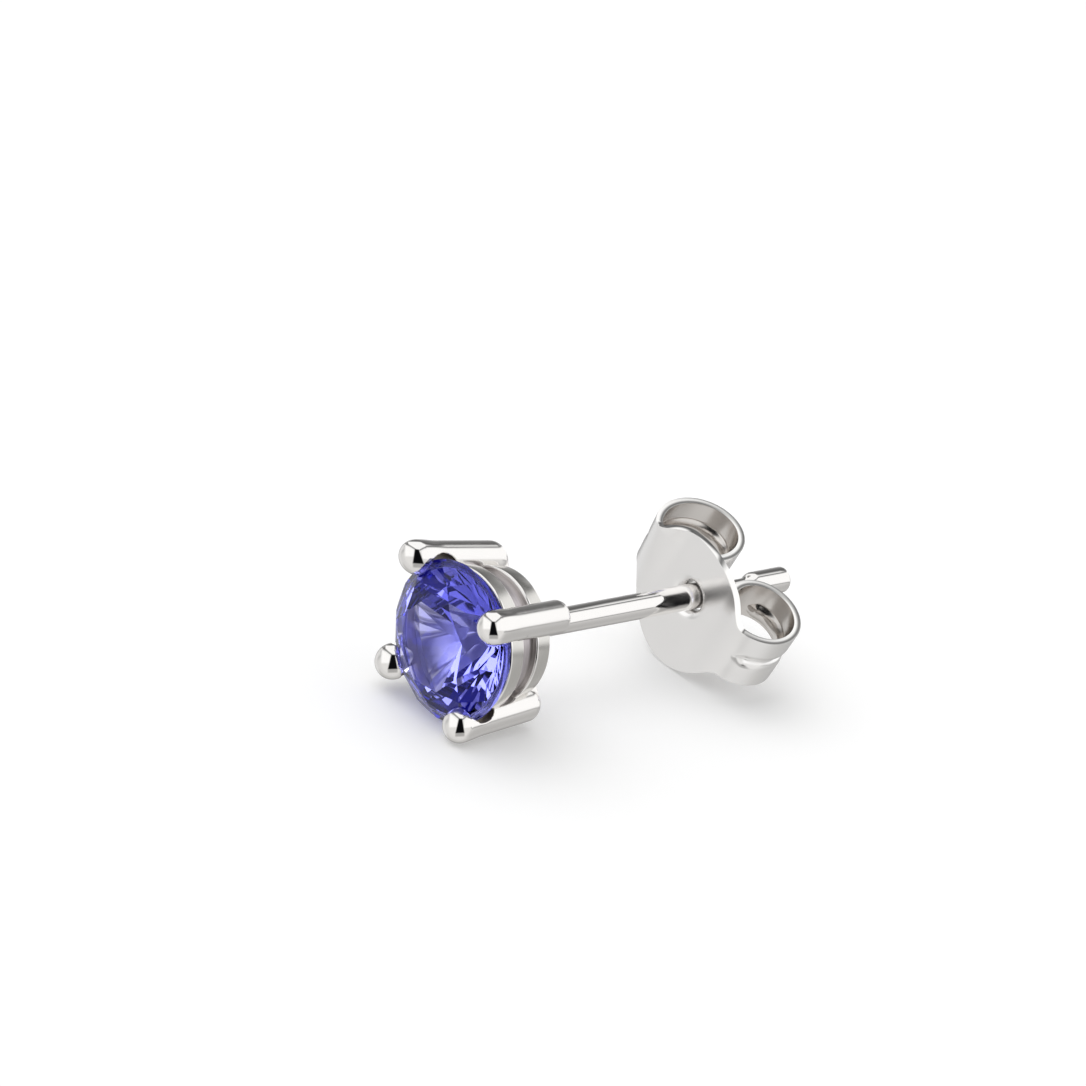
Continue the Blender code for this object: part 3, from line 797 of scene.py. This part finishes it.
def post_outline():
    """Pad, fillet, post, notch and rounded end, front to back."""
    notch = np.linspace(0.0, 1.0, 15)
    slope = (POST_RADIUS - NOTCH_RADIUS) * smooth_step(notch, 0.0, 1.0)
    notch_in = np.stack([NOTCH_FRONT + NOTCH_FRONT_SLOPE * notch, POST_RADIUS - slope], axis=-1)
    notch_out = np.stack([NOTCH_BACK + NOTCH_BACK_SLOPE * notch, NOTCH_RADIUS + slope], axis=-1)
    pad_corner = PAD_RADIUS - PAD_ROUNDING
    return np.vstack([[(PAD_FRONT, 0.0), (PAD_FRONT, 0.70)],
                      quarter(PAD_FRONT + PAD_ROUNDING, pad_corner, PAD_ROUNDING, 180, 90),
                      [(2.60, PAD_RADIUS)],
                      quarter(PAD_BACK - PAD_ROUNDING, pad_corner, PAD_ROUNDING, 90, 0),
                      [(PAD_BACK, 0.60)],
                      quarter(PAD_BACK + SOLDER_FILLET, POST_RADIUS + SOLDER_FILLET, SOLDER_FILLET, 180, 270),
                      [(6.0, POST_RADIUS), (10.8, POST_RADIUS)],
                      notch_in, [(11.4, NOTCH_RADIUS)], notch_out,
                      [(12.4, POST_RADIUS), (13.3, POST_RADIUS)],
                      quarter(POST_END - POST_ROUNDING, POST_RADIUS - POST_ROUNDING, POST_ROUNDING, 90, 0),
                      [(POST_END, 0.12), (POST_END, 0.0)]])


for bar_name, bar_turn in {"cross_bar_rising": EIGHTH, "cross_bar_falling": -EIGHTH}.items():
    bar_points, bar_faces = cross_bar(bar_turn)
    setting_pieces.append(make_piece(bar_name, bar_points, bar_faces, "head",
                                     [polished_silver]))
post_points, post_faces = turned(post_outline())
setting_pieces.append(make_piece("notched_post", post_points, post_faces, "head",
                                 [polished_silver]))
for piece in setting_pieces:
    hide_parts("setting")

# %% [markdown]
# The butterfly back is stamped from one sheet: a round plate with a flanged hole for the post, and two
# wings that roll up behind it to grip the post between them. The flat blank is a function of the run along
# the wings and the place across, and bending it is a second function. The plate is laid out in rings round
# the hole, so that the flange can turn back into a short tube, and the wings carry on as strips. Each wing
# bows forwards a little before it rolls up, the far one more, but not so far that it would meet the fingers
# when the back is pushed right up, and its lower edge is trimmed away towards the tip. Solidify then gives
# the sheet's thickness, and a fine bevel rounds the stamped edges, which is what draws the bright rims.

# %% The butterfly back's sheet
SHEET = 0.22
BACK_FACE = 9.66
PLATE_RADIUS = 2.23
PLATE_SHIFT = 0.33
WING_WIDTH = 1.92
WING_DROP = math.radians(15.6)
WING_BLEND = 0.36
BLEND_FROM = 0.9
BLEND_FULL = 1.9
FLAT_RUN = 1.64
ROLL_RADIUS = 1.22
ROLL_ANGLE = math.radians(315.0)
ROLL_TIGHTENING = 0.29
FLANGE_RADIUS = 0.56
FLANGE_FILLET = 0.22
FLANGE_LENGTH = 0.30
RIB_DEPTH = 0.16
RIB_WIDTH = 0.19
RIB_RUN_OUT = 0.22
RIB_START = 2.55
RIB_STOP = 6.5
FAR_BOW = 0.56
NEAR_BOW = 0.14
BOW_START = 1.15
BOW_FULL = 2.35
BOW_FADE = 0.72
BOW_FADE_LIMIT = 1.3
TIP_RISE = 0.62
TIP_RISE_FROM = math.radians(110.0)
TIP_RISE_TO = math.radians(165.0)


def half_width(run):
    """Half the blank's width at a run: the round plate blended into the wing."""
    plate = np.sqrt(np.maximum(0.0, PLATE_RADIUS ** 2 - run ** 2))
    wing = WING_WIDTH / 2
    blend = WING_BLEND ** 2 * smooth_step(np.abs(run), BLEND_FROM, BLEND_FULL)
    return 0.5 * (plate + wing + np.sqrt((plate - wing) ** 2 + blend))


def plate_shift(run):
    """How far the blank's middle lies beside the wings' middle."""
    return PLATE_SHIFT * np.maximum(0.0, 1.0 - (run / PLATE_RADIUS) ** 2)


def bent(run, across):
    """The flat blank rolled up: straight, then round the roll with a radius that tightens half way.

    The rib along the wing's middle pushes the sheet to the roll's inside, the bow pushes it forwards."""
    flat = np.minimum(np.abs(run), FLAT_RUN)
    angle = (np.abs(run) - flat) / ROLL_RADIUS
    late = np.maximum(0.0, angle - math.pi) / (ROLL_ANGLE - math.pi)
    rib_end = smooth_step(np.abs(run), RIB_START - RIB_RUN_OUT, RIB_START + RIB_RUN_OUT)
    rib_end = rib_end * (1.0 - smooth_step(np.abs(run), RIB_STOP - RIB_RUN_OUT, RIB_STOP + RIB_RUN_OUT))
    rib = RIB_DEPTH * rib_end * np.exp(-np.abs(across / (RIB_WIDTH * (0.35 + 0.65 * rib_end))) ** 3)
    radius = ROLL_RADIUS - ROLL_TIGHTENING * late ** 2 - rib
    bow = np.where(run < 0, FAR_BOW, NEAR_BOW) * smooth_step(np.abs(run), BOW_START, BOW_FULL)
    bow = bow * (1.0 - BOW_FADE * np.clip(0.5 + across / WING_WIDTH, 0.0, BOW_FADE_LIMIT))
    behind = ROLL_RADIUS - radius * np.cos(angle) - bow * (1.0 + np.cos(angle)) / 2
    out = np.sign(run) * (flat + radius * np.sin(angle))
    return behind, out, across


def back_in_place(behind, out, across):
    """From the sheet's own directions to the stud's: the wings hang down to the near side by their drop."""
    turn = math.pi + WING_DROP
    return np.stack([BACK_FACE + SHEET / 2 + behind, out * math.cos(turn) - across * math.sin(turn),
                     out * math.sin(turn) + across * math.cos(turn)], axis=-1)


def plate_rings():
    """The plate from the hole's flange to a frame of four sides, ring by ring outwards."""
    side = 60
    even = np.linspace(-1.0, 1.0, side + 1)[:-1]
    one = np.ones(side)
    frame_run = np.concatenate([one, -even, -one, even]) * FLAT_RUN
    frame_share = np.concatenate([even, one, -even, -one])
    frame_across = frame_share * half_width(frame_run) + plate_shift(frame_run)
    direction = np.arctan2(frame_across, frame_run)
    start = FLANGE_RADIUS + FLANGE_FILLET
    share = np.linspace(0.0, 1.0, 26)[:, None] ** 1.25
    run = start * np.cos(direction) * (1 - share) + frame_run * share
    across = start * np.sin(direction) * (1 - share) + frame_across * share
    plate = back_in_place(*bent(run, across))
    turn = np.linspace(0.0, math.pi / 2, 8)[:-1]
    tube_radius = np.concatenate([[FLANGE_RADIUS, FLANGE_RADIUS],
                                  start - FLANGE_FILLET * np.sin(turn[::-1])])
    tube_behind = np.concatenate([[FLANGE_LENGTH, FLANGE_FILLET],
                                  FLANGE_FILLET * (1.0 - np.cos(turn[::-1]))])
    tube_radius, tube_behind = tube_radius[:-1, None], tube_behind[:-1, None]
    tube = back_in_place(np.broadcast_to(tube_behind, (len(tube_radius), len(direction))),
                         tube_radius * np.cos(direction), tube_radius * np.sin(direction))
    rings = np.concatenate([tube, plate])
    return rings.reshape(-1, 3), grid_faces(len(rings), len(direction), columns_close=True)


def wing(sign):
    """A wing's strip from the plate's frame to its rolled end, trimmed on its lower edge to the tip."""
    run = sign * np.linspace(FLAT_RUN, FLAT_RUN + ROLL_ANGLE * ROLL_RADIUS, 150)[:, None]
    share = np.linspace(-1.0, 1.0, 61)[None, :]
    rolled = (np.abs(run) - FLAT_RUN) / ROLL_RADIUS
    risen = TIP_RISE * smooth_step(rolled, TIP_RISE_FROM, TIP_RISE_TO) * (1.0 + share) / 2
    across = share * half_width(run) + plate_shift(run) - risen
    points = back_in_place(*bent(np.broadcast_to(run, across.shape), across))
    return points.reshape(-1, 3), grid_faces(len(run), share.shape[1])


back_points = []
back_faces = []
for part_points, part_faces in (plate_rings(), wing(1.0), wing(-1.0)):
    start = sum(len(points) for points in back_points)
    back_faces += [[start + i for i in face] for face in part_faces]
    back_points.append(part_points)
back = make_piece("butterfly_sheet", np.vstack(back_points), back_faces, "clutch",
                  [satin_silver, roll_inside_painted_shade, edge_silver], weld=0.002)
thickness = back.modifiers.new("sheet", "SOLIDIFY")
thickness.thickness = SHEET * MILLIMETRE
thickness.offset = 0.0
# The sheet's back, inside the rolls, takes the darker tint: painted shade.
thickness.material_offset = 1
thickness.material_offset_rim = 2
rims = back.modifiers.new("rims", "BEVEL")
rims.width = 0.09 * MILLIMETRE
rims.segments = 4
rims.limit_method = "ANGLE"
rims.angle_limit = math.radians(50.0)
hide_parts("butterfly_back")
